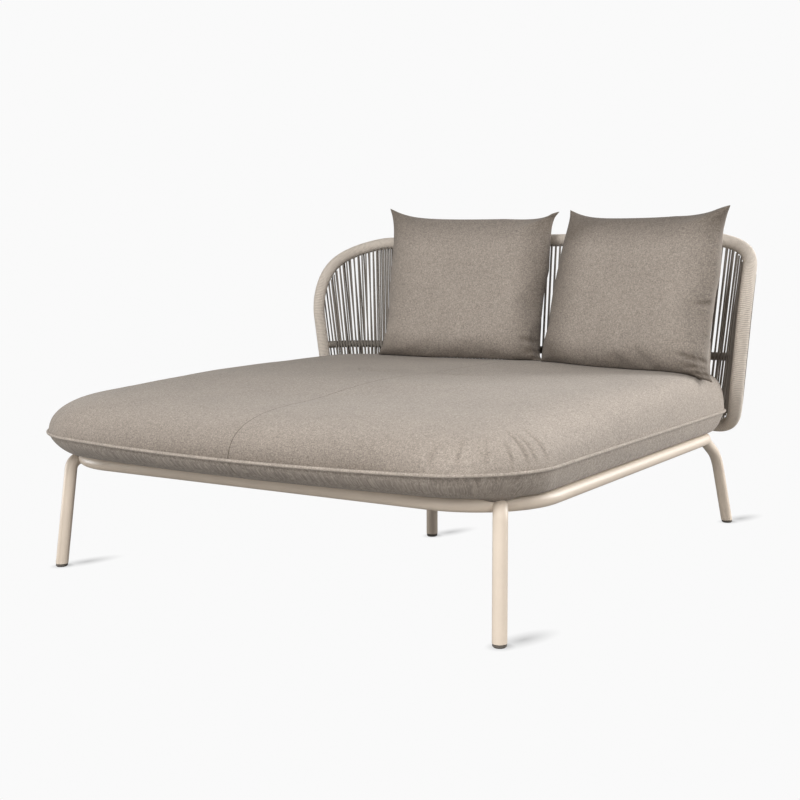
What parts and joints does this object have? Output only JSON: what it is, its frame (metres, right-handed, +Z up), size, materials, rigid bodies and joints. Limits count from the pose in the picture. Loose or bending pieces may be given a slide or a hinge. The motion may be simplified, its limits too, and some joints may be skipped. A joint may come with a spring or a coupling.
{
  "type": "sun bed",
  "caption": "Low outdoor daybed: welded tube frame on splayed legs, rope-wrapped back hoop, one thick piped mattress and two loose scatter pillows that lift off.",
  "frame": {"origin": "floor, where the centre foot stands, 0.173 m behind the middle of the base frame", "axes": "+X along the width (right hand seen from the front), +Y towards the back hoop, +Z up"},
  "size_m": [1.4926, 1.5549, 0.9328],
  "materials": {
    "frame_coat": "satin powder coat, warm light grey-beige",
    "slat_coat": "satin powder coat",
    "rope": "woven outdoor rope, light greige",
    "glide_plastic": "moulded, matt dark grey-brown",
    "bolt_steel": "stainless, brushed",
    "mattress_fabric": "fine woven outdoor fabric, taupe",
    "pillow_fabric": "fine woven outdoor fabric, taupe",
    "foam": "open-cell foam in fibre wadding"
  },
  "bodies": {
    "base": {"bracket_bolts": "bolt_steel", "bracket_rivet_nuts": "bolt_steel", "centre_beam": "frame_coat", "centre_glide": "glide_plastic", "centre_leg": "frame_coat", "front_glide_left": "glide_plastic", "front_glide_right": "glide_plastic", "front_leg_left": "frame_coat", "front_leg_right": "frame_coat", "front_rail": "frame_coat", "hoop_bracket_1": "frame_coat", "hoop_bracket_2": "frame_coat", "hoop_bracket_3": "frame_coat", "hoop_tube_lower": "frame_coat", "hoop_tube_upper": "frame_coat", "mid_rail": "frame_coat", "mid_rail_wrap": "rope", "rear_glide_left": "glide_plastic", "rear_glide_right": "glide_plastic", "rear_leg_left": "frame_coat", "rear_leg_right": "frame_coat", "rear_rail": "frame_coat", "rope_front_left_wing": "rope", "rope_front_middle": "rope", "rope_front_right_wing": "rope", "rope_rear_left_wing": "rope", "rope_rear_middle": "rope", "rope_rear_right_wing": "rope", "rope_wrap_lower": "rope", "rope_wrap_upper": "rope", "side_rail_left": "frame_coat", "side_rail_right": "frame_coat", "slat_left_1": "slat_coat", "slat_left_2": "slat_coat", "slat_left_3": "slat_coat", "slat_left_4": "slat_coat", "slat_left_5": "slat_coat", "slat_left_6": "slat_coat", "slat_left_7": "slat_coat", "slat_right_1": "slat_coat", "slat_right_2": "slat_coat", "slat_right_3": "slat_coat", "slat_right_4": "slat_coat", "slat_right_5": "slat_coat", "slat_right_6": "slat_coat", "slat_right_7": "slat_coat"},
    "mattress": {"mattress_core": "foam", "mattress_cover": "mattress_fabric", "mattress_piping": "mattress_fabric"},
    "pillow_left": {"pillow_cover_left": "pillow_fabric", "pillow_inner_left": "foam"},
    "pillow_right": {"pillow_cover_right": "pillow_fabric", "pillow_inner_right": "foam"}
  },
  "joints": [
    {"name": "mattress_lift", "type": "slide", "parent": "base", "child": "mattress", "axis": [0, 0, 1], "range_m": [0, 0.6]},
    {"name": "pillow_left_lift", "type": "slide", "parent": "mattress", "child": "pillow_left", "axis": [0, 0, 1], "range_m": [0, 0.42]},
    {"name": "pillow_right_lift", "type": "slide", "parent": "mattress", "child": "pillow_right", "axis": [0, 0, 1], "range_m": [0, 0.42]}
  ]
}
